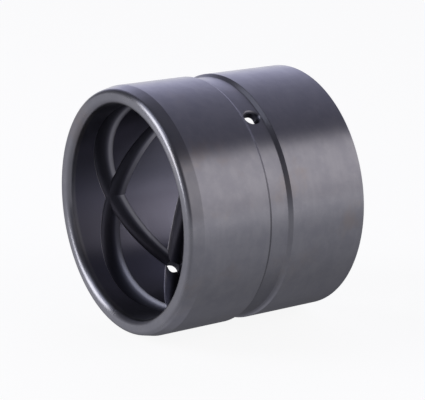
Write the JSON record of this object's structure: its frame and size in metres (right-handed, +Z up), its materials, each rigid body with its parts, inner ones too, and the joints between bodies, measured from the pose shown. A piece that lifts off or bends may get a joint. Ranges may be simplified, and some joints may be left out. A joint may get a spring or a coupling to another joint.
{
  "type": "pin bushing",
  "caption": "Plain hardened steel pin bushing with a lead-in end, an outer ring groove, radial oil holes and crossing grease grooves in the bore.",
  "frame": {"origin": "on the bore axis at mid-length, which is the centre of the bounding box", "axes": "+Y along the bore axis from the lead-in end to the plain end, +Z up with the bushing lying on its outer surface, +X level; one oil hole points 52.7 degrees up from +X and the other is opposite"},
  "size_m": [0.1048, 0.086, 0.1048],
  "materials": {
    "phosphated_steel": "dark grey satin: turned and hardened steel with a thin phosphate film"
  },
  "bodies": {
    "root": {"bushing_body": "phosphated_steel"}
  },
  "joints": []
}
